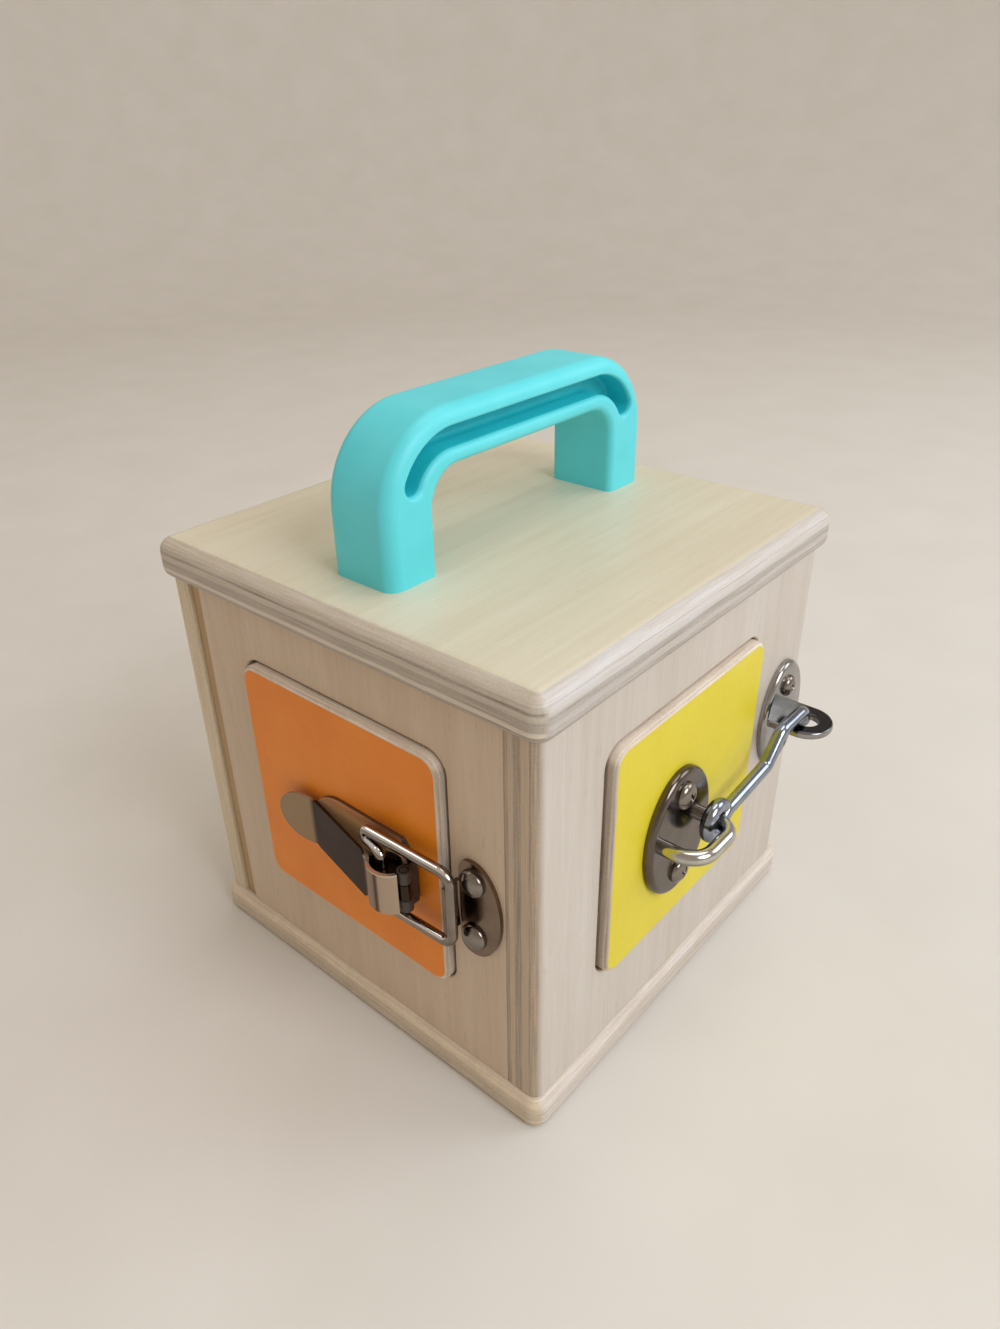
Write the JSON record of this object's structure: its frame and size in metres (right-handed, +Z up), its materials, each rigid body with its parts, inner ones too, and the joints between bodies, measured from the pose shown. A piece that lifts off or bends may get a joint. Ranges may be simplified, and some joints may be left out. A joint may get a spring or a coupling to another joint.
{
  "type": "wooden lock box",
  "caption": "Cubic plywood activity box with painted doors on pivot pins, a toggle latch, a hook and eye, a panel that slides out of the side and a moulded carrying handle on the lid.",
  "frame": {"origin": "middle of the underside of the base, where the box stands", "axes": "+Z up through the handle, -Y out of the side with the orange door, +X out of the side with the yellow door"},
  "size_m": [0.1567, 0.1511, 0.1805],
  "materials": {
    "birch": "sanded birch plywood under clear lacquer",
    "orange_paint": "plywood with a satin orange painted face",
    "yellow_paint": "plywood with a satin yellow painted face",
    "teal_plastic": "satin moulded plastic",
    "nickel": "polished dark nickel plate",
    "steel": "plain steel"
  },
  "bodies": {
    "box": {"base": "birch", "front_panel": "birch", "right_panel": "birch", "back_panel": "birch", "left_panel": "birch", "guide_rail_bottom": "birch", "guide_rail_top": "birch", "lid": "birch", "handle": "teal_plastic", "handle_screw_front": "steel", "handle_screw_back": "steel", "keeper": "nickel", "keeper_rivet_top": "nickel", "keeper_rivet_bottom": "nickel", "eye_plate": "nickel", "eye_screw_top": "nickel", "eye_screw_bottom": "nickel"},
    "slider": {"sliding_panel": "birch"},
    "orange_leaf": {"orange_door": "orange_paint", "orange_door_pin_top": "steel", "orange_door_pin_bottom": "steel", "latch_base": "nickel", "latch_pivot_pin": "steel", "latch_rivet_inner": "nickel", "latch_rivet_outer": "nickel"},
    "lever": {"latch_lever": "nickel"},
    "bail": {"latch_bail": "nickel"},
    "yellow_leaf": {"yellow_door": "yellow_paint", "yellow_door_pin_top": "steel", "yellow_door_pin_bottom": "steel", "hook_plate": "nickel", "hook_staple": "nickel", "hook_screw_top": "nickel", "hook_screw_bottom": "nickel"},
    "hook": {"hook": "nickel"}
  },
  "joints": [
    {"name": "panel_slide", "type": "slide", "parent": "box", "child": "slider", "axis": [0, -1, 0], "range_m": [0, 0.095]},
    {"name": "orange_door_swing", "type": "hinge", "parent": "box", "child": "orange_leaf", "pos_m": [-0.0262, -0.065, 0.073], "axis": [0, 0, -1], "range_deg": [0, 90]},
    {"name": "lever_swing", "type": "hinge", "parent": "orange_leaf", "child": "lever", "pos_m": [0.0306, -0.0753, 0.0702], "axis": [0, 0, 1], "range_deg": [0, 163]},
    {"name": "bail_swing", "type": "hinge", "parent": "lever", "child": "bail", "pos_m": [0.0234, -0.0762, 0.0702], "axis": [0, 0, 1], "range_deg": [-163, 0]},
    {"name": "yellow_door_swing", "type": "hinge", "parent": "box", "child": "yellow_leaf", "pos_m": [0.065, -0.0309, 0.073], "axis": [0, 0, -1], "range_deg": [0, 90]},
    {"name": "hook_swing", "type": "hinge", "parent": "yellow_leaf", "child": "hook", "pos_m": [0.0775, -0.001, 0.07], "axis": [1, 0, 0], "range_deg": [0, 100]}
  ],
  "couplings": [
    {"joint": "bail_swing", "follows": "lever_swing", "ratio": -1},
    {"joint": "hook_swing", "follows": "yellow_door_swing", "ratio": 1.11}
  ]
}
